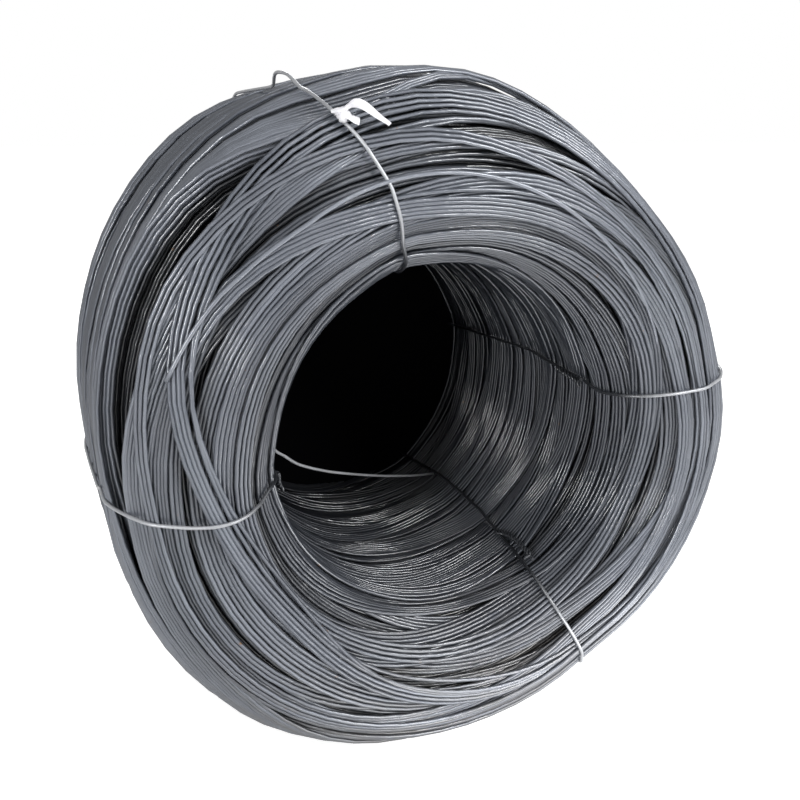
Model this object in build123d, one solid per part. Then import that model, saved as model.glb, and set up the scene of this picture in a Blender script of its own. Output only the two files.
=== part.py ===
"""A coil of steel wire lying on its side, bound by four tie wires, with a strip of marker tape on one tie.

The coil's axis runs along Y and its front end faces -Y. Z is up, X is to the right seen from the front,
and the coil lies on the floor at Z = 0. All sizes are in millimetres and all angles in degrees.

Shapes that belong to a tie are drawn in the half-plane X > 0, Z = 0, where X is the distance from the
coil's axis and Y runs along it, and are then carried round the axis to the tie's own angle.
"""

import math
import os

from build123d import *

# Wire and coil
WIRE_DIAMETER = 5.5
COIL_OUTER_RADIUS = 441.0
BORE_RADIUS = 214.0
COIL_LENGTH = 570.0
END_ROUND_OUTER = 122.0  # radius of the end's rounding towards the outside
END_ROUND_INNER = 95.0  # radius of the end's rounding towards the bore

# The turns that show on the ends: each ridge is a band of neighbouring turns
TURNS_PER_RIDGE = 5
RIDGE_DEPTH = 7.0
RIDGE_CREST = 0.42  # share of a ridge's pitch that its crest takes
RIDGED_ARC = 42.0  # how far the ridges run round each rounding, from the end's face
END_PIECES = 2  # flats that draw the smooth rest of each rounding

# The gap between the front bundle of turns and the turns behind it, on the front's outer rounding
TRENCH_ANGLE = 30.0  # measured round the rounding, from the outside
TRENCH_WIDTH = 36.0
TRENCH_DEPTH = 15.0

# Tie wires, each a loop through the bore and round the outside
TIE_DIAMETER = 4.2
TIE_ANGLES = {"tie_top": 109.0, "tie_right": 9.0, "tie_lower_right": -59.0, "tie_left": 186.5}
TIE_SIDES = 8  # the round wire is drawn with this many sides
BEND_CORNERS = 5  # each quarter bend is made of this many slight corners
TIE_SEAT_GAP = 0.1
TIE_BORE_CLEARANCE = 0.5  # the tie stays this far outside the free bore
TIE_BEND_INNER = 82.0  # radius of the tie's bend out of the bore
DENT_RADIUS = 12.0  # the dent that the tie presses into the wall of the bore

# The twisted ends of each tie, at the front edge of the bore
TWIST_LENGTH = 30.0
TWIST_CORNERS = 6
TWIST_ANGLE = 450.0  # turn of the two strands from end to end
TWIST_PLACE_ANGLE = 36.0  # where it leaves the tie, measured round the bend out of the bore
STRAND_PRESS = 0.1  # how far each strand is pressed into the other

# Marker tape, knotted round the top tie, with a long arched tail and a short one
TAPE_TIE = "tie_top"
TAPE_PLACE_ANGLE = 45.0  # measured round the front's outer rounding, from the outside
TAPE_WIDTH = 9.0
TAPE_THICKNESS = 1.2
KNOT_HEIGHT = 9.0
KNOT_LENGTH = 14.0
KNOT_WIDTH = 13.0
TAIL_SPAN = 64.0
TAIL_RISE = 17.0
STUB_SPAN = 22.0
STUB_RISE = 3.0
STUB_OFFSET = 4.0  # from the long tail to the short one, along the tie

AXIS_HEIGHT = COIL_OUTER_RADIUS
HALF_LENGTH = COIL_LENGTH / 2
TIE_RADIUS = TIE_DIAMETER / 2
TIE_LIFT = TIE_RADIUS + TIE_SEAT_GAP  # from the turns to the tie's centre line
TIE_IN_BORE = BORE_RADIUS + TIE_BORE_CLEARANCE + TIE_RADIUS
TIE_BEND_CENTRE = Vector(TIE_IN_BORE + TIE_BEND_INNER, TIE_BEND_INNER - HALF_LENGTH - TIE_LIFT)
INNER_CENTRE = Vector(BORE_RADIUS + END_ROUND_INNER, END_ROUND_INNER - HALF_LENGTH)
OUTER_CENTRE = Vector(COIL_OUTER_RADIUS - END_ROUND_OUTER, END_ROUND_OUTER - HALF_LENGTH)


def direction(degrees):
    """The unit vector of the half-plane at this angle from X."""
    return Vector(math.cos(math.radians(degrees)), math.sin(math.radians(degrees)))


def arc_points(centre, radius, start, end, pieces):
    """Points along an arc, from its start to its end."""
    return [centre + direction(start + (end - start) * i / pieces) * radius for i in range(pieces + 1)]


def bend_points(centre, radius, start, end):
    """Corners of straight pieces laid round the outside of an arc, as a stiff wire bends over turns."""
    step = (end - start) / BEND_CORNERS
    reach = radius / math.cos(math.radians(step / 2))
    return [centre + direction(start + step * (i + 0.5)) * reach for i in range(BEND_CORNERS)]


def mirrored(points):
    """The same stretch at the coil's other end, in running order."""
    return [Vector(p.X, -p.Y) for p in reversed(points)]


def front_face(share):
    """A point of the front end's ridged stretch and its outward normal, at a share from 0 to 1."""
    inner_arc = math.radians(RIDGED_ARC) * END_ROUND_INNER
    outer_arc = math.radians(RIDGED_ARC) * END_ROUND_OUTER
    flat = OUTER_CENTRE.X - INNER_CENTRE.X
    along = share * (inner_arc + flat + outer_arc)
    if along < inner_arc:
        normal = direction(270 - RIDGED_ARC * (1 - along / inner_arc))
        return INNER_CENTRE + normal * END_ROUND_INNER, normal
    if along < inner_arc + flat:
        return Vector(INNER_CENTRE.X + along - inner_arc, -HALF_LENGTH), Vector(0, -1)
    normal = direction(270 + RIDGED_ARC * (along - inner_arc - flat) / outer_arc)
    return OUTER_CENTRE + normal * END_ROUND_OUTER, normal


def front_ridges():
    """Points of the front end's bands of turns: flat crests on the outline, with a valley between two."""
    arcs = math.radians(RIDGED_ARC) * (END_ROUND_INNER + END_ROUND_OUTER)
    length = arcs + OUTER_CENTRE.X - INNER_CENTRE.X
    ridges = max(2, round(length / (TURNS_PER_RIDGE * WIRE_DIAMETER)))
    points = []
    for i in range(ridges):
        points += [front_face((i + 0.5 + side * RIDGE_CREST / 2) / ridges)[0] for side in (-1, 1)]
        if i < ridges - 1:
            place, normal = front_face((i + 1) / ridges)
            points.append(place - normal * RIDGE_DEPTH)
    return points


def wire_coil():
    """The turned body of wire, with its bore along Y and the trench behind its front bundle."""
    flare = arc_points(INNER_CENTRE, END_ROUND_INNER, 180, 270 - RIDGED_ARC, END_PIECES)
    shoulder = arc_points(OUTER_CENTRE, END_ROUND_OUTER, RIDGED_ARC - 90, 0, END_PIECES)
    half_width = math.degrees(TRENCH_WIDTH / 2 / END_ROUND_OUTER)
    trench = [
        OUTER_CENTRE + direction(-TRENCH_ANGLE - half_width) * END_ROUND_OUTER,
        OUTER_CENTRE + direction(-TRENCH_ANGLE) * (END_ROUND_OUTER - TRENCH_DEPTH),
        OUTER_CENTRE + direction(half_width - TRENCH_ANGLE) * END_ROUND_OUTER,
    ]
    ridged = flare + front_ridges()
    with BuildPart() as coil:
        with BuildSketch():
            with BuildLine():
                Polyline(*ridged, shoulder[0], *trench, shoulder[-1], *mirrored(ridged + shoulder), close=True)
            make_face()
        revolve(axis=Axis.Y)
    return coil.part


def swept_bar(path, section):
    """A bar of this section along a path of straight pieces."""
    start = Plane(origin=path @ 0, z_dir=path % 0)
    return sweep(start * section, path=path, transition=Transition.RIGHT)


def tie_loop():
    """A tie's closed loop, through the bore and round the outside."""
    outer_bend = END_ROUND_OUTER + TIE_LIFT
    front = bend_points(TIE_BEND_CENTRE, TIE_BEND_INNER, 180, 270)
    front += bend_points(OUTER_CENTRE, outer_bend, 270, 360)
    with BuildLine() as path:
        Polyline((TIE_IN_BORE, 0), *front, *mirrored(front), (TIE_IN_BORE, 0))
    return swept_bar(path.wire(), RegularPolygon(TIE_RADIUS, TIE_SIDES))


def dent():
    """What a tie presses out of the bore's wall: its floor lies one seat gap behind the tie."""
    bend = TIE_BEND_INNER + DENT_RADIUS - TIE_LIFT
    front = bend_points(TIE_BEND_CENTRE, bend, 270, 180)[2:]
    with BuildLine() as path:
        Polyline(*front, *mirrored(front))
    return swept_bar(path.wire(), Circle(DENT_RADIUS))


def twisted_ends():
    """The two ends of a tie, twisted together and laid along the turns beside it."""
    away = direction(180 + TWIST_PLACE_ANGLE)
    along = Vector(0, 0, 1)
    seat = TIE_BEND_CENTRE + away * (TIE_BEND_INNER + TIE_RADIUS)
    ends = Part()
    for side in (0, 180):
        corners = []
        for i in range(TWIST_CORNERS + 1):
            turn = math.radians(side + TWIST_ANGLE * i / TWIST_CORNERS)
            across = along.cross(away) * math.sin(turn) + away * math.cos(turn)
            step = along * TWIST_LENGTH * i / TWIST_CORNERS
            corners.append(seat + across * (TIE_RADIUS - STRAND_PRESS) + step)
        with BuildLine() as path:
            Polyline(*corners)
        ends += swept_bar(path.wire(), RegularPolygon(TIE_RADIUS, TIE_SIDES))
    return ends


def tape_tail(span, rise, drop):
    """A tail that leaves the knot along -Z, arches away from the turns along X and ends on them."""
    with BuildPart() as tail:
        with BuildSketch(Plane.XZ):
            with BuildLine():
                lower = ThreePointArc((0, 0), (rise, -span / 2), (-drop, -span))
                offset(lower, TAPE_THICKNESS, side=Side.LEFT, closed=True)
            make_face()
        extrude(amount=TAPE_WIDTH / 2, both=True)
    return tail.part


def marker_tape():
    """The tape's knot round the tie and its two tails."""
    outward = direction(-TAPE_PLACE_ANGLE)
    seat = OUTER_CENTRE + outward * END_ROUND_OUTER
    knot = Box(KNOT_HEIGHT, KNOT_LENGTH, KNOT_WIDTH, align=(Align.MIN, Align.CENTER, Align.CENTER))
    knot = chamfer(knot.faces().sort_by(Axis.X)[-1].edges(), KNOT_HEIGHT / 3)
    tape = knot
    for span, rise, place in ((TAIL_SPAN, TAIL_RISE, STUB_OFFSET / 2), (STUB_SPAN, STUB_RISE, -STUB_OFFSET / 2)):
        drop = seat.X - math.sqrt(seat.X**2 - span**2)  # how far the round coil falls away at the tip
        tape += Pos(0, place, 0) * tape_tail(span, rise, drop * outward.X)
    return Plane(origin=seat, x_dir=outward, z_dir=(0, 0, 1)) * tape


def turned(shape, degrees):
    """Carries a shape from the half-plane round the coil's axis, anticlockwise seen from the front."""
    return Rotation(0, -degrees, 0) * shape


def main():
    """Builds each piece at its place on the floor and writes it to parts/."""
    os.makedirs("parts", exist_ok=True)
    coil, one_dent, one_tie = wire_coil(), dent(), tie_loop() + twisted_ends()
    for angle in TIE_ANGLES.values():
        coil -= turned(one_dent, angle)
    pieces = {name: turned(one_tie, angle) for name, angle in TIE_ANGLES.items()}
    pieces["marker_tape"] = turned(marker_tape(), TIE_ANGLES[TAPE_TIE]) - coil - pieces[TAPE_TIE]
    pieces["wire_coil"] = coil
    for name, piece in pieces.items():
        export_step(Pos(0, 0, AXIS_HEIGHT) * piece, f"parts/{name}.step")


main()
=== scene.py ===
"""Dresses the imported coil: strands of wire laid over each other, four tie wires and a strip of marker tape.

A place on the coil is given as (turn, girth, rise): turn is the angle round the coil's axis, from the
right-hand side over the top, seen from the front; girth is the length round the section of the coil's
wall, from the middle of the bore over the front end, the outside and the back end; rise is the height
above the section's outline. Lengths are in millimetres until a mesh is made.
"""

import math

import bpy
import numpy as np
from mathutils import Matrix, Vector


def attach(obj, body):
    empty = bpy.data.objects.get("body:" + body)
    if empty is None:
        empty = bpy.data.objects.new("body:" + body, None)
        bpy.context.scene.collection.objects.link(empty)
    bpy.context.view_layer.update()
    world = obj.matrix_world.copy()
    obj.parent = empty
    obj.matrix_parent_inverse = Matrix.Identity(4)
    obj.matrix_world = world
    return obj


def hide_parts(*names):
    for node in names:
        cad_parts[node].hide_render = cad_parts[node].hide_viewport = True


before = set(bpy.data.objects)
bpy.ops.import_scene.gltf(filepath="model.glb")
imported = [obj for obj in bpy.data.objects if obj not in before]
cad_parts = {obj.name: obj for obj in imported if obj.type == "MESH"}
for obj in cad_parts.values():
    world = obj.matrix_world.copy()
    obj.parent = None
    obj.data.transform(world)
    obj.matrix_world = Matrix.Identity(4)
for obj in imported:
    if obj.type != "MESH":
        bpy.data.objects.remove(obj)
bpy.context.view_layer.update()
rng = np.random.default_rng(7)

# Camera, from the photograph's outlines
CAMERA_FROM_AXIS = (-479.8, -1215.3, 367.3)
CAMERA_FORWARD = (0.36795, 0.88848, -0.27427)
LENS = 42.07

# The coil's section
WIRE = 5.0  # how far apart turns lie
STRAND_RADIUS = WIRE / 2 * 1.05  # a turn is drawn a little thicker, so that neighbours touch
OUTER = 430.0  # mean radius of the outside
BORE = 219.5  # radius of the bore
HALF_LENGTH = 283.3
ROUND_OUTER = 120.7
ROUND_INNER = 89.8
ROUND_BACK = 30.0  # the back end's rounding towards the bore
AXIS_HEIGHT = 433.5
BULGE = ((2, -0.0125, -0.0214), (3, 0.0281, -0.0156), (4, 0.0035, -0.0008))  # cosine and sine terms

# How the turns lie
STEPS = 66  # points of a turn
SIDES = 5
SLOT = 0.5  # width of a cell of the height map
SOFT_EDGE = 3.0  # how closely turns crowd along a gap
STIFFNESS = 14  # how widely a turn bridges the dips below it
FIRST_TURNS = 214  # the lowest layer
RIBBONS = 164
CANDIDATES = 14  # places tried for each ribbon; the lowest is taken

# Gaps that part the turns: turn angles, and the gap's middle and half width there
GAPS = (
    dict(  # the open gap behind the front bundle
        at=(40, 64, 80, 100, 112, 122, 128, 135, 143, 152, 160, 166, 173, 179, 186),
        girth=(445, 436, 413, 406, 404, 418, 436, 454, 464, 469, 472, 478, 473, 468, 462),
        half=(0, 3, 3.5, 3.5, 7, 17, 24, 29, 34, 38, 39, 36, 30, 19, 0), reach=50),
    dict(at=(150, 157, 164, 174, 180, 190), girth=(390, 396, 405, 402, 400, 398),
         half=(0, 2.5, 4, 5, 4, 0), reach=25),
    dict(at=(112, 119, 123, 127, 132, 145), girth=(440, 446, 460, 479, 503, 530),
         half=(0, 2.5, 4, 4, 3, 0), reach=25),
    dict(at=(5, 18, 31, 48, 61, 80), girth=(284, 277, 271, 269, 270, 266),
         half=(0, 3, 4, 4, 3, 0), reach=25),
    dict(at=(-50, -31, -16, -1, 13, 24, 35), girth=(283, 282, 288, 304, 328, 350, 370),
         half=(0, 3, 4.5, 4, 3.5, 3, 0), reach=25),
)

GAP_LEVEL = 440.0  # girth of the turns that the open gap parts

# Where a tie draws the turns together: turn angle, girth, shift along the girth, and the reach in degrees
# and in girth
DRAWS = ((110, 500, -34, 15, 60),)

# Ribbons that cross over the rest, as the photograph shows them
CROSSING = (
    dict(members=6, at=(110, 130, 150, 161, 166, 170, 176, 182, 187, 194, 204, 215, 227, 237, 260, 300, 400),
         girth=(425, 414, 401, 391, 377, 365, 352, 339, 329, 319, 309, 301, 304, 313, 335, 380, 420)),
    dict(members=3, at=(80, 107, 120, 135, 150, 165, 185, 220, 300, 380),
         girth=(372, 395, 402, 418, 432, 428, 415, 400, 380, 365)),
)
LOOSE_END = dict(at=(20, 60, 90, 108, 125, 130, 135, 140, 144, 151, 156, 160.5),
                 girth=(310, 330, 345, 352, 357, 361, 367, 373, 380, 389, 395, 400.5))

TIE = 4.2
TIES = {  # each tie's way: (girth, turn angle)
    "tie_top": (
        (0, 107), (247, 107), (282, 108.2), (347, 108), (395, 109.9), (439, 111.6), (501, 112.3), (851, 111),
        (1209, 109)),
    "tie_right": (
        (46, 16.3), (116, 14.3), (183, 12.4), (216, 9.9), (285, 9.3), (325, 8.6), (368, 7.9), (430, 7.6),
        (851, 9), (1209, 13)),
    "tie_lower_right": (
        (54, -53.5), (134, -56.3), (175, -57.3), (218, -58.9), (278, -60.2), (397, -60.2), (851, -59),
        (1209, -54), (1305, -52.2), (1383, -52.7)),
    "tie_left": (
        (0, 183), (200, 184), (245, 184.6), (268, 186.6), (296, 187.4), (329, 187.4), (369, 186.8),
        (410, 185.7), (452, 184.5), (495, 183.5), (513, 182.7), (588, 186), (851, 190), (1209, 187)),
}
TIE_PRESS = 4.5  # how far a tie draws the pile in, and over how many degrees to each side
TIE_PRESS_ARC = 9
SLACK = {"tie_top": (560, 46, 13.0)}  # girth, half length and height of a slack loop

turns = np.arange(STEPS) * 2 * math.pi / STEPS
rows = np.arange(STEPS)

# The outline of the section
quarter = math.pi / 2
corner_girths = np.cumsum([
    0, HALF_LENGTH - ROUND_INNER, quarter * ROUND_INNER, quarter * ROUND_OUTER,
    2 * (HALF_LENGTH - ROUND_OUTER), quarter * ROUND_OUTER, ROUND_INNER - ROUND_BACK, quarter * ROUND_BACK,
    HALF_LENGTH - ROUND_BACK,
])
corner_normals = np.radians([180, 180, 270, 360, 360, 450, 450, 540, 540])
GIRTH = corner_girths[-1]
fine_girths = np.linspace(0, GIRTH, 8001)
fine_normals = np.interp(fine_girths, corner_girths, corner_normals)
middle_normals = (fine_normals[1:] + fine_normals[:-1]) / 2
fine_radii = BORE + np.concatenate([[0], np.cumsum(-np.sin(middle_normals)) * fine_girths[1]])
fine_depths = np.concatenate([[0], np.cumsum(np.cos(middle_normals)) * fine_girths[1]])


def section(girth, rise):
    """Distance from the axis, place along it and the outward normal's angle."""
    girth = np.mod(girth, GIRTH)
    normal = np.interp(girth, fine_girths, fine_normals)
    radius = np.interp(girth, fine_girths, fine_radii) + rise * np.cos(normal)
    return radius, np.interp(girth, fine_girths, fine_depths) + rise * np.sin(normal), normal


def place(turn, girth, rise):
    """Points in millimetres in the row frame. The outside bulges a little, and the bore is round."""
    radius, depth, _ = section(girth, rise)
    share = np.clip((radius - BORE) / (OUTER - BORE), 0, 1.1)
    bulge = sum(c * np.cos(k * turn) + s * np.sin(k * turn) for k, c, s in BULGE)
    radius = radius * (1 + share * bulge)
    return np.stack([radius * np.cos(turn), depth, AXIS_HEIGHT + radius * np.sin(turn)], axis=-1)


def outward(turn, girth):
    """Unit normals in the row frame."""
    normal = section(girth, 0)[2]
    return np.stack([np.cos(normal) * np.cos(turn), np.sin(normal), np.cos(normal) * np.sin(turn)], axis=-1)


def signed(girth):
    """A difference of girths, the short way round."""
    return np.mod(girth + GIRTH / 2, GIRTH) - GIRTH / 2


def degrees_from(angle):
    """The turns' angles from this one, in degrees, the short way round."""
    return (np.degrees(turns) - angle + 180) % 360 - 180


def smoothed(values, times):
    """Values round the turn, eased this many times."""
    for _ in range(times):
        values = (np.roll(values, 1, axis=-1) + 2 * values + np.roll(values, -1, axis=-1)) / 4
    return values


def open_gap():
    """How fully the open gap guides the turns at each step, the shift of its middle, and its half width."""
    gap = GAPS[0]
    half, middle = gap_profile(gap)
    away = degrees_from((gap["at"][0] + gap["at"][-1]) / 2)
    beyond = np.abs(away) - (gap["at"][-1] - gap["at"][0]) / 2
    hold = smoothed(np.clip(1 - beyond / 40, 0, 1), 4)
    return hold, hold * (smoothed(middle, 8) - GAP_LEVEL), smoothed(half, 5)


def gap_profile(gap):
    """Half width and middle of a gap at each step of a turn."""
    centre = (gap["at"][0] + gap["at"][-1]) / 2
    away = degrees_from(centre) + centre
    half = np.interp(away, gap["at"], gap["half"], left=0, right=0)
    return half, np.interp(away, gap["at"], gap["girth"])


def parted(path):
    """Moves a turn towards where the ties draw it and out of the gaps."""
    for angle, girth, shift, arc, wide in DRAWS:
        away = signed(path - girth)
        path = path + shift * np.exp(-(degrees_from(angle) / arc) ** 2 - (away / wide) ** 2)
    for gap in GAPS[1:]:
        half, middle = gap_profile(gap)
        away = signed(path - middle)
        path = path + half * np.tanh(away / 2.0) * np.exp(-np.abs(away) / gap["reach"])
    hold, shift, half = open_gap()  # a turn stays on one side of the open gap and runs along it
    level = path.mean(-1, keepdims=True)
    away = signed(level - GAP_LEVEL) + path - level
    side = np.where((away * half).sum(-1, keepdims=True) < 0, -1.0, 1.0)
    eased = SOFT_EDGE * np.logaddexp(0, away * side / SOFT_EDGE)
    beside = away * side + hold * (eased - away * side) + half * np.exp(-eased / GAPS[0]["reach"])
    path = path + side * beside - away + shift * np.exp(-(beside / 150) ** 2)
    return smoothed(path, 5)


# Laying the turns
slots = int(round(GIRTH / SLOT))
slot = GIRTH / slots
ground = np.zeros((STEPS, slots))
reach = np.arange(-int(WIRE / slot), int(WIRE / slot) + 1)
cap = np.sqrt(np.maximum(WIRE**2 - (reach * slot) ** 2, 0))


def lay(paths):
    """Lays a ribbon of turns on what is there and returns their rises above the first layer."""
    cell = np.rint(paths / slot).astype(int)
    rise = ground[rows, cell % slots]
    for _ in range(STIFFNESS):
        rise = np.maximum(rise, (np.roll(rise, 1, axis=1) + np.roll(rise, -1, axis=1)) / 2)
    for _ in range(len(paths) // 2):  # a ribbon lies flat
        if len(paths) > 2:
            rise[1:-1] = np.maximum(rise[1:-1], (rise[:-2] + rise[2:]) / 2)
    rise = smoothed(rise, 3)
    for one_cell, one_rise in zip(cell, rise):
        cells = (one_cell[:, None] + reach) % slots
        ground[rows[:, None], cells] = np.maximum(ground[rows[:, None], cells], one_rise[:, None] + cap)
    return rise


def sway(size, first=1, last=4, fall=1.2):
    """A smooth closed wander along the girth."""
    waves = np.arange(first, last + 1)[:, None]
    sizes = rng.normal(0, size, waves.shape) / waves**fall
    return (sizes * np.cos(waves * turns + rng.uniform(0, 2 * math.pi, waves.shape))).sum(0)


def ribbon_of(middle, members):
    """The paths of neighbouring turns. Now and then one strays, and the ribbon loosens along its way."""
    loose = 0.35 * rng.random() ** 2
    pitch = WIRE * (1.0 + loose * (1 + np.cos(rng.integers(1, 4) * turns + rng.uniform(0, 6.28))) / 2)
    paths = []
    for member in range(members):
        strays = rng.random() < 0.1
        own = sway(6.0 if strays else 0.35, 1, 5, 0.8)
        paths.append(middle + (member - (members - 1) / 2) * pitch + own)
    return np.array(paths)


def along(track):
    """A closed path through the given girths at the given turn angles, eased."""
    at, girth = np.array(track["at"], float), np.array(track["girth"], float)
    first = at[0]
    angle = np.mod(np.degrees(turns) - first, 360) + first
    end = girth[0] if at[-1] < first + 360 else girth[-1]
    path = np.interp(angle, np.append(at, first + 360), np.append(girth, end))
    return smoothed(path, 3)


def lay_all():
    """Lays the first layer, then ribbons where the pile is low, then the crossing ones."""
    paths, rises, tones = [], [], []
    for start in (np.arange(FIRST_TURNS) + rng.uniform(-0.2, 0.2, FIRST_TURNS)) * GIRTH / FIRST_TURNS:
        path = (start + sway(2.0))[None]
        paths.append(parted(path))
        rises.append(lay(paths[-1]))
        tones.append(rng.random(1))
    for _ in range(RIBBONS):
        members, best = int(rng.integers(3, 11)), None
        for _ in range(CANDIDATES):
            middle = rng.uniform(0, GIRTH) + sway(rng.choice([12, 22, 40]))
            spread = (np.arange(3) - 1)[:, None] * members * WIRE / 3
            cost = ground[rows, np.rint(parted(middle + spread) / slot).astype(int) % slots].mean()
            if best is None or cost < best[0]:
                best = (cost, middle)
        paths.append(parted(ribbon_of(best[1], members)))
        rises.append(lay(paths[-1]))
        tones.append(0.65 * rng.random() + 0.35 * rng.random(members))
    for track in CROSSING:
        paths.append(ribbon_of(along(track), track["members"]))
        rises.append(lay(paths[-1]))
        tones.append(0.3 + 0.4 * rng.random(track["members"]))
    return np.concatenate(paths), np.concatenate(rises), np.concatenate(tones)


def crest_level(paths, rises):
    """The smooth height of the pile's top at every step and 5 mm of girth."""
    cells = int(GIRTH / 5)
    crest = np.zeros((STEPS, cells))
    columns = np.floor(np.mod(paths, GIRTH) / GIRTH * cells).astype(int) % cells
    np.maximum.at(crest, (np.broadcast_to(rows, columns.shape), columns), rises)
    wide = np.max([np.roll(crest, shift, axis=1) for shift in range(-2, 3)], axis=0)
    step_waves = np.fft.fftfreq(STEPS)[:, None] * STEPS
    cell_waves = np.fft.fftfreq(cells)[None, :]
    blur = np.exp(-2 * (math.pi * cell_waves * 3.5) ** 2 - (step_waves / 9) ** 2)
    return np.real(np.fft.ifft2(np.fft.fft2(wide) * blur))


def settle(paths, rises, crest):
    """Brings the pile's top to the outline, drawn in under the ties. Also gives each turn's painted shade:
    how deep it lies below the pile's top, more on the open gap's low walls.
    """
    cells = crest.shape[1]
    spots = (np.arange(cells) + 0.5) * GIRTH / cells
    level = np.empty_like(rises)
    for step in rows:
        level[:, step] = np.interp(np.mod(paths[:, step], GIRTH), spots, crest[step], period=GIRTH)
    tie_angles = [route[2][1] for route in TIES.values()]
    drawn = sum(TIE_PRESS * np.exp(-(degrees_from(angle) / TIE_PRESS_ARC) ** 2) for angle in tie_angles)
    _, shift, half = open_gap()
    from_gap = np.abs(signed(paths - GAP_LEVEL - shift)) - half
    near = np.exp(-(np.clip(from_gap, 0, None) / 20) ** 2)
    # Painted shade: a turn is painted darker the deeper it lies below the pile's top, and more so low on the
    # open gap's walls
    walls = np.minimum(half / 10, 1) * near * np.clip(19 - rises, 0, 14)  # low turns on the open gap's walls
    buried = level - rises
    dark = buried + 2.6 * walls
    return -buried - WIRE / 2 - drawn, dark


def tube_mesh(name, strands, radius, sides, closed):
    """A mesh of round strands. Each is (points, ups, tone, painted shade from how deep it is buried), in
    millimetres.
    """
    corners, faces, tones, depths, base = [], [], [], [], 0
    angles = np.arange(sides) * 2 * math.pi / sides
    for points, ups, tone, buried in strands:
        n = len(points)
        if closed:
            ahead = np.roll(points, -1, axis=0) - np.roll(points, 1, axis=0)
        else:
            ahead = np.gradient(points, axis=0)
        ahead = ahead / np.linalg.norm(ahead, axis=-1, keepdims=True)
        side = np.cross(ahead, ups)
        side /= np.linalg.norm(side, axis=-1, keepdims=True)
        up = np.cross(side, ahead)
        ring = np.cos(angles)[:, None] * up[:, None] + np.sin(angles)[:, None] * side[:, None]
        corners.append((points[:, None] + ring * radius).reshape(-1, 3))
        span, face = np.meshgrid(np.arange(n if closed else n - 1), np.arange(sides), indexing="ij")
        after, beside = (span + 1) % n, (face + 1) % sides
        here, there = span * sides, after * sides
        quads = np.stack([here + face, here + beside, there + beside, there + face], -1)
        faces += (quads.reshape(-1, 4) + base).tolist()
        if not closed:
            faces.append([base + k for k in range(sides)][::-1])
            faces.append([base + (n - 1) * sides + k for k in range(sides)])
        tones.append(np.full(n * sides, tone))
        depths.append(np.repeat(np.broadcast_to(buried, n), sides))
        base += n * sides
    mesh = bpy.data.meshes.new(name)
    mesh.from_pydata((np.concatenate(corners) / 1000).tolist(), [], faces)
    mesh.polygons.foreach_set("use_smooth", np.array([len(f) == 4 for f in faces]))
    for label, values in (("tone", tones), ("buried", depths)):
        attribute = mesh.attributes.new(label, "FLOAT", "POINT")
        attribute.data.foreach_set("value", np.concatenate(values).astype(np.float32))
    return mesh


def join_grids(name, grids, closed=True):
    """A mesh of grids of points, in millimetres, closed or open along their rows."""
    corners, faces, base = [], [], 0
    for points in grids:
        n, m = points.shape[:2]
        i, j = np.meshgrid(np.arange(n if closed else n - 1), np.arange(m - 1), indexing="ij")
        after = (i + 1) % n
        quads = np.stack([i * m + j, i * m + j + 1, after * m + j + 1, after * m + j], -1)
        faces += (quads.reshape(-1, 4) + base).tolist()
        corners.append(points.reshape(-1, 3) / 1000)
        base += n * m
    mesh = bpy.data.meshes.new(name)
    mesh.from_pydata(np.concatenate(corners).tolist(), [], faces)
    mesh.shade_smooth()
    return mesh


def add(mesh, material, node):
    """Puts a piece that stands for a CAD node into the scene, on the coil's one body."""
    piece = bpy.data.objects.new(mesh.name, mesh)
    bpy.context.scene.collection.objects.link(piece)
    mesh.materials.append(material)
    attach(piece, "root")
    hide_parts(node)
    return piece


class Shader:
    """Short names for making a material's nodes."""

    def __init__(self, name):
        self.material = bpy.data.materials.new(name)
        self.material.use_nodes = True
        self.tree = self.material.node_tree
        self.out = self.tree.nodes["Principled BSDF"]

    def node(self, kind, inputs=None, **settings):
        node = self.tree.nodes.new(kind)
        for key, value in settings.items():
            setattr(node, key, value)
        for key, value in (inputs or {}).items():
            if isinstance(value, bpy.types.NodeSocket):
                self.tree.links.new(value, node.inputs[key])
            else:
                node.inputs[key].default_value = value
        return node

    def maths(self, operation, a, b):
        return self.node("ShaderNodeMath", {0: a, 1: b}, operation=operation).outputs[0]

    def noise(self, vector, scale, detail=2.0):
        inputs = {"Vector": vector, "Scale": scale, "Detail": detail}
        return self.node("ShaderNodeTexNoise", inputs).outputs["Fac"]

    def separate(self, vector, axis):
        return self.node("ShaderNodeSeparateXYZ", {0: vector}).outputs[axis]

    def vector_maths(self, operation, a, b):
        return self.node("ShaderNodeVectorMath", {0: a, 1: b}, operation=operation).outputs[0]

    def spread(self, value, low, high, to_low=0.0, to_high=1.0):
        names = {"Value": value, "From Min": low, "From Max": high, "To Min": to_low, "To Max": to_high}
        return self.node("ShaderNodeMapRange", names).outputs["Result"]

    def mix(self, share, a, b):
        node = self.node("ShaderNodeMix", {0: share}, data_type="RGBA")
        for socket, value in ((node.inputs[6], a), (node.inputs[7], b)):
            if isinstance(value, bpy.types.NodeSocket):
                self.tree.links.new(value, socket)
            else:
                socket.default_value = (*value, 1)
        return node.outputs[2]

    def set(self, name, value):
        if isinstance(value, bpy.types.NodeSocket):
            self.tree.links.new(value, self.out.inputs[name])
        else:
            self.out.inputs[name].default_value = value


# Colours of painted shade: for turns that lie deep, and for the bore
DEEP_TURN_SHADE_COLOUR = (0.004, 0.005, 0.007)
BORE_SHADE_COLOUR = (0.012, 0.014, 0.019)


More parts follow.
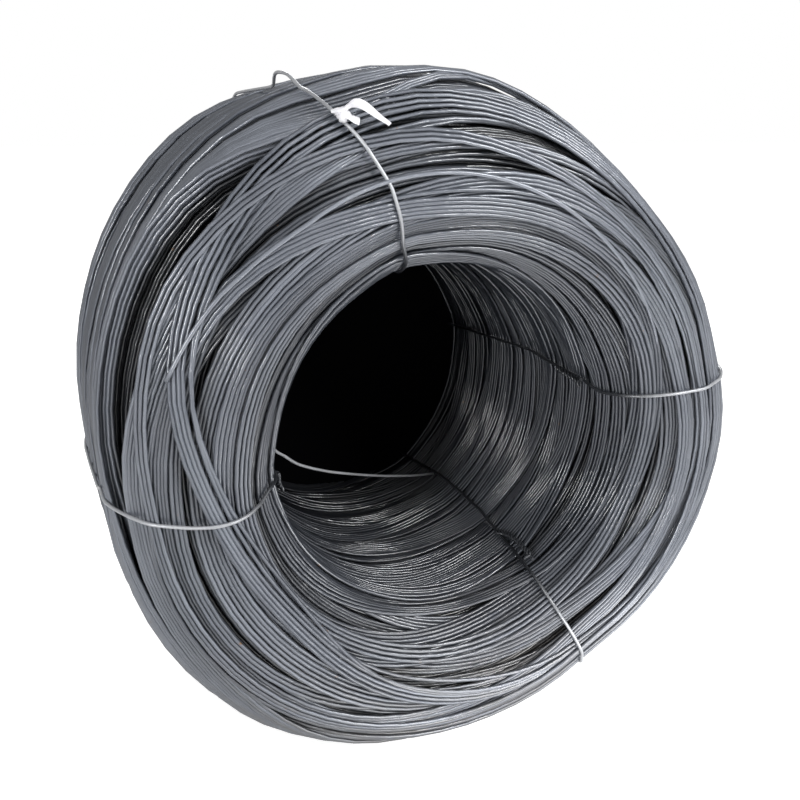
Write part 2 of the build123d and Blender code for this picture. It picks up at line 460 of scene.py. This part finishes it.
def steel(name, dark, light, rough, gloss=0.0, browning=0.0, bore_shade_share=0.5):
    """Drawn steel: a tone for each turn, patches of lighter and darker steel, dull spots, browner and darker
    towards the bottom, and painted shade on deep turns and in the bore.
    """
    m = Shader(name)
    tone = m.node("ShaderNodeAttribute", attribute_name="tone").outputs["Fac"]
    place_in = m.node("ShaderNodeTexCoord").outputs["Object"]
    apart = m.node("ShaderNodeCombineXYZ", {
        "X": tone, "Y": m.maths("MULTIPLY", tone, 7.3), "Z": m.maths("MULTIPLY", tone, 3.1)})
    own = m.vector_maths("ADD", place_in, apart.outputs[0])
    patches = m.noise(own, 14, 3)
    grain = m.noise(own, 420, 2)
    share = m.maths("ADD", tone, m.maths("MULTIPLY", m.maths("SUBTRACT", patches, 0.5), 1.1))
    colour = m.mix(m.spread(share, 0.1, 0.9), dark, light)

    # Painted shade: turns that lie deep below the pile's top, and low turns on the open gap's walls, are
    # painted darker, standing in for the shade under the turns above them
    below = m.node("ShaderNodeAttribute", attribute_name="buried").outputs["Fac"]
    colour = m.mix(m.spread(below, 3.0, 14.0, 0.0, 0.93), colour, DEEP_TURN_SHADE_COLOUR)

    # Painted shade in the bore too, darker towards its back end
    if bore_shade_share:
        across = m.vector_maths("ADD", place_in, (0, 0, -AXIS_HEIGHT / 1000))
        flat = m.vector_maths("MULTIPLY", across, (1, 0, 1))
        from_axis = m.node("ShaderNodeVectorMath", {0: flat}, operation="LENGTH").outputs["Value"]
        inside = m.spread(from_axis, 0.30, 0.235)
        depth = m.spread(m.separate(place_in, "Y"), -0.25, 0.12, bore_shade_share, 0.93)
        colour = m.mix(m.maths("MULTIPLY", inside, depth), colour, BORE_SHADE_COLOUR)

    if browning:
        # Browner and darker towards the bottom
        low = m.spread(m.separate(place_in, "Z"), 0.26, 0.02, 0.0, browning)
        low_brown_share = m.maths("MULTIPLY", low, m.spread(m.noise(own, 9, 3), 0.35, 0.6))
        colour = m.mix(low_brown_share, colour, (0.10, 0.085, 0.06))
        # Brown specks of rust
        colour = m.mix(m.spread(m.noise(own, 60, 3), 0.735, 0.80), colour, (0.16, 0.085, 0.04))
    m.set("Base Color", colour)
    m.set("Metallic", 0.5)
    m.set("Roughness", m.spread(patches, 0.3, 0.7, rough - 0.05, rough + 0.1))
    fine = m.node("ShaderNodeBump", {"Height": grain, "Strength": 0.15, "Distance": 0.0002})
    uneven = m.node("ShaderNodeBump", {
        "Height": m.noise(own, 38, 2), "Strength": 0.6, "Distance": 0.003, "Normal": fine.outputs["Normal"]})
    m.set("Normal", uneven.outputs["Normal"])
    m.set("Coat Weight", gloss)
    m.set("Coat Roughness", 0.17)
    m.set("Coat IOR", 1.7)
    m.set("Coat Normal", uneven.outputs["Normal"])
    return m.material


strand_steel = steel("strand_steel", (0.075, 0.084, 0.104), (0.175, 0.19, 0.222), 0.46, gloss=0.8, browning=0.5)
tie_steel = steel("tie_steel", (0.30, 0.31, 0.33), (0.44, 0.45, 0.47), 0.42, gloss=0.4, bore_shade_share=0.95)
# Painted light: a lighter copy of the strand steel, without the bore's painted shade, for the turn that hangs
# across the bore
lit_turn_steel = steel("lit_turn_steel", (0.34, 0.35, 0.37), (0.46, 0.47, 0.49), 0.42, gloss=0.4, bore_shade_share=0)
# Near-black steel for the core sheet, which is painted shade
core_painted_shade = steel("core_painted_shade", (0.003, 0.003, 0.004), (0.006, 0.006, 0.007), 0.8, bore_shade_share=0)

# The turns
paths, rises, tones = lay_all()
crest = crest_level(paths, rises)
# buried holds each turn's painted shade amount, from its depth below the pile's top and the open gap's walls
heights, buried = settle(paths, rises, crest)
centres = place(turns[None, :], paths, heights)
ups = outward(turns[None, :], paths)
for number, group in enumerate(np.array_split(rng.permutation(len(paths)), 5)):
    strands = [(centres[k], ups[k], tones[k], buried[k]) for k in group]
    turns_mesh = tube_mesh(f"turns_{number + 1}", strands, STRAND_RADIUS, SIDES, True)
    add(turns_mesh, strand_steel, "wire_coil")


def open_strand(track, rise_at_end):
    """A turn that ends on top of the pile: its points from the first angle to the last."""
    path = along(track)[None]
    rise = settle(path, lay(path), crest)[0][0]
    angles = np.radians(np.linspace(track["at"][0], track["at"][-1], 60))
    girth = np.interp(np.degrees(angles), track["at"], track["girth"])
    rise = np.interp(angles, turns, rise, period=2 * math.pi)
    share = np.linspace(0, 1, 60)
    lift = rise_at_end * np.clip((share - 0.75) / 0.25, 0, 1) ** 2
    rise = rise + lift - 8 * np.clip((0.25 - share) / 0.25, 0, 1)
    return place(angles, girth, rise), outward(angles, girth), 0.9, 0


# A turn that hangs across the bore, from the left side of its mouth to its cut end: X, Y and the height
# above the axis
FALLEN_WIRE = 3.6
FALLEN_TURN = (
    (-236, -228, 60), (-225, -215, 20), (-201, -182, -6), (-174, -150, -31), (-125, -97, -64),
    (-74, -52, -91), (-6, 7, -124), (68, 66, -155), (129, 112, -176),
)


def smooth_curve(points, count):
    """A Catmull-Rom curve through points."""
    points = np.array(points, float)
    padded = np.concatenate([[2 * points[0] - points[1]], points, [2 * points[-1] - points[-2]]])
    out = []
    for t in np.linspace(0, len(points) - 1 - 1e-9, count):
        k, f = int(t), t - int(t)
        a, b, c, d = padded[k : k + 4]
        square, cube = 2 * a - 5 * b + 4 * c - d, 3 * b - a - 3 * c + d
        out.append(0.5 * (2 * b + (c - a) * f + square * f**2 + cube * f**3))
    return np.array(out)


def fallen_turn():
    """The strand of the turn that hangs across the bore."""
    points = smooth_curve(FALLEN_TURN, 60) + (0, 0, AXIS_HEIGHT)
    return points, np.tile((0.0, 0.0, 1.0), (60, 1)), 1.0, 0


loose_end = tube_mesh("loose_end", [open_strand(LOOSE_END, 3.0)], WIRE / 2, 8, False)
add(loose_end, strand_steel, "wire_coil")
# The hanging turn is drawn in the lighter copy of the strand steel, as painted light
fallen = tube_mesh("fallen_turn", [fallen_turn()], FALLEN_WIRE / 2, 8, False)
add(fallen, lit_turn_steel, "wire_coil")


# The inside of the pile: a near-black sheet, painted shade standing in for the shadowed depth below the turns
CORE_CELLS = 275  # along the girth
CORE_DEPTH = 34.0
CORE_DEEPER = 30  # how much deeper it lies in the open gap, and over how much girth to each side
CORE_DEEPER_REACH = 26


def core():
    """A plain near-black surface below the first layer, and deeper in the open gap: painted shade."""
    around = np.linspace(0, GIRTH, CORE_CELLS + 1)[:-1]
    turn, girth = np.meshgrid(turns, around, indexing="ij")
    half, middle = gap_profile(GAPS[0])
    beside = signed(girth - middle[:, None])
    deeper = CORE_DEEPER * np.minimum(half / 10, 1)[:, None] * np.exp(-(beside / CORE_DEEPER_REACH) ** 2)
    points = place(turn, girth, -CORE_DEPTH - deeper).reshape(-1, 3) / 1000
    n, m = turn.shape
    i, j = np.meshgrid(np.arange(n), np.arange(m), indexing="ij")
    here, there = i * m, (i + 1) % n * m
    quads = np.stack([here + j, here + (j + 1) % m, there + (j + 1) % m, there + j], -1)
    mesh = bpy.data.meshes.new("core")
    mesh.from_pydata(points.tolist(), [], quads.reshape(-1, 4).tolist())
    mesh.shade_smooth()
    return mesh


add(core(), core_painted_shade, "wire_coil")


# The ties
def hull(points):
    """The convex hull of points in a plane, in order."""
    points = points[np.lexsort((points[:, 1], points[:, 0]))]

    def half(run):
        chain = []
        for p in run:
            while len(chain) > 1 and np.cross(chain[-1] - chain[-2], p - chain[-2]) <= 0:
                chain.pop()
            chain.append(p)
        return chain[:-1]

    return np.array(half(points) + half(points[::-1]))


def tie_route(name, girth):
    """A tie's turn angle at these girths, in radians."""
    at, angle = np.array(TIES[name]).T
    spaced = np.interp(np.mod(girth, GIRTH), at, angle, period=GIRTH)
    return np.radians(spaced)


def at_position(table, position):
    """Each turn's value at its own place among the steps."""
    every = np.arange(len(table))
    low = np.floor(position).astype(int) % STEPS
    share = position - np.floor(position)
    return table[every, low] * (1 - share) + table[every, (low + 1) % STEPS] * share


def tie_loop(name):
    """The taut line of a tie round the pile: girths and rises."""
    girth = paths.mean(axis=1)
    for _ in range(3):
        angle = np.mod(tie_route(name, girth), 2 * math.pi)
        position = angle / (2 * math.pi) * STEPS
        girth = at_position(paths, position)
    radius, depth, _ = section(girth, at_position(heights, position))
    round_it = np.radians(np.arange(0, 360, 20))
    rim = (WIRE + TIE) / 2 + 0.2
    points = np.stack([radius[:, None] + rim * np.cos(round_it), depth[:, None] + rim * np.sin(round_it)], -1)
    line = hull(points.reshape(-1, 2))
    ends = np.roll(line, -1, axis=0)
    line = np.concatenate([a + (b - a) * np.linspace(0, 1, 12)[:-1, None] for a, b in zip(line, ends)])
    outline = np.stack([fine_radii, fine_depths], -1)
    away = line[:, None] - outline[None, ::8]
    nearest = (away**2).sum(-1).argmin(1) * 8
    normal = fine_normals[nearest]
    spot = line - outline[nearest]
    rise = spot[:, 0] * np.cos(normal) + spot[:, 1] * np.sin(normal)
    order = np.argsort(fine_girths[nearest])
    even = np.linspace(0, GIRTH, 260, endpoint=False)
    rise = np.interp(even, fine_girths[nearest][order], rise[order], period=GIRTH)
    rise = smoothed(rise, 3)
    if name in SLACK:
        middle, wide, height = SLACK[name]
        rise = rise + height * np.exp(-(signed(even - middle) / wide) ** 4)
    return even, rise


TWIST_PITCH = 15  # length of one turn of the two ends round each other
TWISTS = {  # the line of each tie's twisted ends: (turn angle, girth, rise above the tie's own)
    "tie_top": ((107, 168, 2), (103, 158, 4), (97, 148, 4), (90, 140, 5), (84, 134, 7)),
    "tie_right": ((14.0, 128, 3), (13.4, 140, 4), (13.0, 152, 4), (12.6, 165, 4), (11.6, 182, 5)),
    "tie_lower_right": (
        (-56.4, 126, 2), (-55.0, 142, 4), (-54.3, 165, 5), (-54.6, 192, 6), (-55.4, 215, 9), (-57, 221, 11)),
    "tie_left": ((184, 208, 2), (186, 200, 4), (189, 190, 5), (192, 184, 7)),
}


def twist(name, even, rise):
    """The two ends of a tie, wound round each other."""
    line = smooth_curve(TWISTS[name], 60)
    angle = np.radians(line[:, 0])
    base = np.interp(np.mod(line[:, 1], GIRTH), even, rise, period=GIRTH) + line[:, 2]
    middle, up = place(angle, line[:, 1], base), outward(angle, line[:, 1])
    ahead = np.gradient(middle, axis=0)
    run = np.concatenate([[0], np.cumsum(np.linalg.norm(np.diff(middle, axis=0), axis=1))])
    ahead /= np.linalg.norm(ahead, axis=-1, keepdims=True)
    side = np.cross(ahead, up)
    out = []
    for start in (0, math.pi):
        phase = start + run / TWIST_PITCH * 2 * math.pi
        offset = (np.cos(phase)[:, None] * up + np.sin(phase)[:, None] * side) * TIE / 2
        tip = np.clip((run - run[-1] * 0.85) / (run[-1] * 0.15), 0, 1)[:, None]
        flare = tip * (1 if start else -1) * side * 4
        out.append((middle + offset + flare, up, 0.4 + 0.2 * (start > 0), 0))
    return out


for name in TIES:
    even, rise = tie_loop(name)
    route = tie_route(name, even)
    loop = (place(route, even, rise), outward(route, even), 0.6, 0)
    add(tube_mesh(name + "_wire", [loop], TIE / 2, 10, True), tie_steel, name)
    ends = tube_mesh(name + "_twist", twist(name, even, rise), TIE / 2, 10, False)
    add(ends, tie_steel, name)


# The marker tape: a strip tied round the top tie, its long end arched and its short end laid down
TAPE_WIDTH = 10.0
TAPE_POINTS = 48  # along a strip
TAPE_LONG = (  # turn angle, girth, rise, tilt to one side and how far it is rolled up, both in degrees
    (111.9, 432, 5, 20, 150), (111.3, 428.5, 8, 10, 170), (110.6, 425, 10, 0, 190),
    (109.9, 424.5, 13, -25, 170), (109.1, 422.5, 17.5, -40, 90), (108.2, 418.5, 18, -35, 60),
    (107.2, 413, 14.5, -20, 80), (106.1, 407, 9.5, 0, 130), (104.9, 400.5, 4.5, 25, 190),
)
TAPE_SHORT = (
    (110.9, 421, 8, 20, 170), (110.4, 418.5, 8.5, 10, 110), (109.8, 416, 6, 0, 60),
    (109.0, 413, 3.5, -10, 80),
)
KNOT = dict(turn=110.75, girth=424, rise=5.5)
KNOT_POINTS = 28  # round a band, and rows across it
KNOT_ROWS = 7
KNOT_BANDS = ((8, 6.5, 5.5, 9.0), (58, 7.8, 6.4, 7.5), (-42, 8.2, 5.8, 6.5))  # heading, two radii and width


def strip(name, line):
    """A strip of tape along a line, rolled up across its width. Its length along the middle comes with it."""
    line = smooth_curve(line, TAPE_POINTS)
    angle = np.radians(line[:, 0])
    middle, up = place(angle, line[:, 1], line[:, 2]), outward(angle, line[:, 1])
    ahead = np.gradient(middle, axis=0)
    ahead /= np.linalg.norm(ahead, axis=-1, keepdims=True)
    side = np.cross(ahead, up)
    tilt, roll = np.radians(line[:, 3])[:, None], np.radians(line[:, 4])[:, None, None]
    wide = np.cos(tilt) * side + np.sin(tilt) * up
    high = np.cross(wide, ahead)
    across = np.linspace(-0.5, 0.5, 11)[None, :, None]
    points = middle[:, None] + TAPE_WIDTH / roll * (
        np.sin(roll * across) * wide[:, None] + (np.cos(roll * across) - np.cos(roll / 2)) * high[:, None])
    ripple = np.sin(across * 19 + np.arange(TAPE_POINTS)[:, None, None] * 0.55)
    points = points + 0.25 * ripple * high[:, None]
    length = np.linalg.norm(np.diff(points[:, 5], axis=0), axis=1).sum()
    return join_grids(name, [points], closed=False), length


def knot_bands(name):
    """The knot's bands, each a closed strip round the tie at its own heading."""
    turn, girth = math.radians(KNOT["turn"]), KNOT["girth"]
    centre, up = place(turn, girth, KNOT["rise"]), outward(turn, girth)
    over = place(turn, girth + 1, KNOT["rise"]) - centre
    beside = np.cross(over, up)
    around = np.arange(KNOT_POINTS) * 2 * math.pi / KNOT_POINTS
    points = []
    for heading, wide, high, width in KNOT_BANDS:
        heading = math.radians(heading)
        ahead = math.cos(heading) * beside + math.sin(heading) * over
        edge = np.cross(ahead, up)
        for share in np.linspace(-0.5, 0.5, KNOT_ROWS):
            pinch = 1 - 0.9 * share**2 + 0.05 * np.sin(5 * around + 9 * share)
            ring = np.cos(around)[:, None] * wide * ahead + np.sin(around)[:, None] * high * up
            points.append(centre + ring * pinch[:, None] + share * width * edge)
    rings = np.array(points).reshape(len(KNOT_BANDS), KNOT_ROWS, KNOT_POINTS, 3)
    return join_grids(name, [ring.transpose(1, 0, 2) for ring in rings])


tape = Shader("tape_weave")
threads_in = tape.node("ShaderNodeTexCoord").outputs["Object"]
weave = {"Vector": threads_in, "Scale": 330.0}
warp = tape.node("ShaderNodeTexWave", weave, bands_direction="X").outputs["Fac"]
weft = tape.node("ShaderNodeTexWave", weave, bands_direction="Z").outputs["Fac"]
threads = tape.maths("MULTIPLY", warp, weft)
soiled = tape.spread(tape.noise(threads_in, 90), 0.3, 0.7)
tape.set("Base Color", tape.mix(soiled, (0.66, 0.65, 0.69), (0.78, 0.78, 0.80)))
tape.set("Roughness", tape.spread(threads, 0, 1, 0.75, 0.6))
tape_bump = tape.node("ShaderNodeBump", {"Height": threads, "Strength": 0.3, "Distance": 0.0003})
tape.set("Normal", tape_bump.outputs["Normal"])
knot = add(knot_bands("tape_knot"), tape.material, "marker_tape")
for name, line, extra in (("tape_long", TAPE_LONG, [knot]), ("tape_short", TAPE_SHORT, [])):
    mesh, length = strip(name, line)
    piece = add(mesh, tape.material, "marker_tape")


# Floor, light and camera
def stage_sheet(name, corners):
    """A flat sheet that isn't part of the object."""
    mesh = bpy.data.meshes.new(name)
    mesh.from_pydata(corners, [], [tuple(range(len(corners)))])
    piece = bpy.data.objects.new(name, mesh)
    bpy.context.scene.collection.objects.link(piece)
    return piece


floor = stage_sheet("floor", [(-60, -60, 0), (60, -60, 0), (60, 60, 0), (-60, 60, 0)])
paint = Shader("floor_paint")
paint.set("Base Color", (0.88, 0.88, 0.88, 1))
paint.set("Roughness", 0.9)
floor_light = paint.node("ShaderNodeEmission", {"Color": (1, 1, 1, 1), "Strength": 2.7})
seen = paint.node("ShaderNodeLightPath")
blend_in = paint.node("ShaderNodeMixShader", {0: paint.maths("MULTIPLY", seen.outputs["Is Camera Ray"], 0.3)})
paint.tree.links.new(paint.out.outputs[0], blend_in.inputs[1])
paint.tree.links.new(floor_light.outputs[0], blend_in.inputs[2])
paint.tree.links.new(blend_in.outputs[0], paint.tree.nodes["Material Output"].inputs["Surface"])
floor.data.materials.append(paint.material)

# A black disc across the bore's back end, because the photograph's bore is dark there. It isn't part of the
# object, whose bore is open. It is black to a camera in front of the coil and clear to one behind it.
# The disc is painted shade: a black sheet standing in for the darkness deep in the bore, and it keeps light
# from behind out of the bore
around = np.radians(np.arange(0, 360, 6.0))
dark_edge = place(around, np.full(around.shape, GIRTH - 245), -14.0) / 1000
shade_disc = stage_sheet("bore_shade_disc", [tuple(p) for p in dark_edge.tolist()])
shade_disc_paint = Shader("bore_shade_disc")
shade_disc_paint.set("Base Color", (0.003, 0.003, 0.0035, 1))
shade_disc_paint.set("Specular IOR Level", 0.0)
shade_disc_paint.set("Roughness", 1.0)
clear = shade_disc_paint.node("ShaderNodeBsdfTransparent")
behind = shade_disc_paint.node("ShaderNodeNewGeometry").outputs["Backfacing"]
looked_at = shade_disc_paint.node("ShaderNodeLightPath").outputs["Is Camera Ray"]
one_sided = shade_disc_paint.node("ShaderNodeMixShader", {0: shade_disc_paint.maths("MULTIPLY", behind, looked_at)})
shade_disc_paint.tree.links.new(shade_disc_paint.out.outputs[0], one_sided.inputs[1])
shade_disc_paint.tree.links.new(clear.outputs[0], one_sided.inputs[2])
shade_disc_paint.tree.links.new(one_sided.outputs[0], shade_disc_paint.tree.nodes["Material Output"].inputs["Surface"])
shade_disc.data.materials.append(shade_disc_paint.material)

world = bpy.data.worlds.new("world")
bpy.context.scene.world = world
world.use_nodes = True
background = world.node_tree.nodes["Background"]
background.inputs["Color"].default_value = (1, 1, 1, 1)
path_node = world.node_tree.nodes.new("ShaderNodeLightPath")
strength = world.node_tree.nodes.new("ShaderNodeMapRange")
strength.inputs["To Min"].default_value = 0.47
strength.inputs["To Max"].default_value = 1.0
world.node_tree.links.new(path_node.outputs["Is Camera Ray"], strength.inputs["Value"])
world.node_tree.links.new(strength.outputs["Result"], background.inputs["Strength"])


def lamp(name, direction, distance, size, power):
    """A soft lamp that looks at the coil's middle from a direction."""
    data = bpy.data.lights.new(name, "AREA")
    data.shape = "RECTANGLE"
    data.size, data.size_y = size
    data.energy = power
    light = bpy.data.objects.new(name, data)
    bpy.context.scene.collection.objects.link(light)
    unit = Vector(direction).normalized()
    light.location = Vector((0, 0, AXIS_HEIGHT / 1000)) + unit * distance
    light.rotation_euler = (-unit).to_track_quat("-Z", "Y").to_euler()


lamp("window_left", (-0.72, -0.65, 0.24), 4.0, (0.5, 1.0), 64)
lamp("window_right", (0.69, -0.52, 0.5), 4.0, (1.0, 0.8), 48)
lamp("window_front", (0.42, -0.8, 0.42), 4.0, (1.0, 0.8), 77)
lamp("window_above", (-0.05, -0.6, 0.8), 4.0, (0.8, 0.8), 12)
lamp("window_back", (0.35, 0.85, 0.5), 4.0, (1.4, 1.0), 60)
lamp("bright_ground", (0.33, -0.75, -0.55), 0.68, (0.5, 0.12), 1.3)

camera_data = bpy.data.cameras.new("camera")
camera_data.lens = LENS
camera = bpy.data.objects.new("camera", camera_data)
bpy.context.scene.collection.objects.link(camera)
camera.location = Vector(CAMERA_FROM_AXIS) / 1000 + Vector((0, 0, AXIS_HEIGHT / 1000))
camera.rotation_euler = Vector(CAMERA_FORWARD).to_track_quat("-Z", "Y").to_euler()
bpy.context.scene.camera = camera
bpy.context.scene.view_settings.view_transform = "Standard"
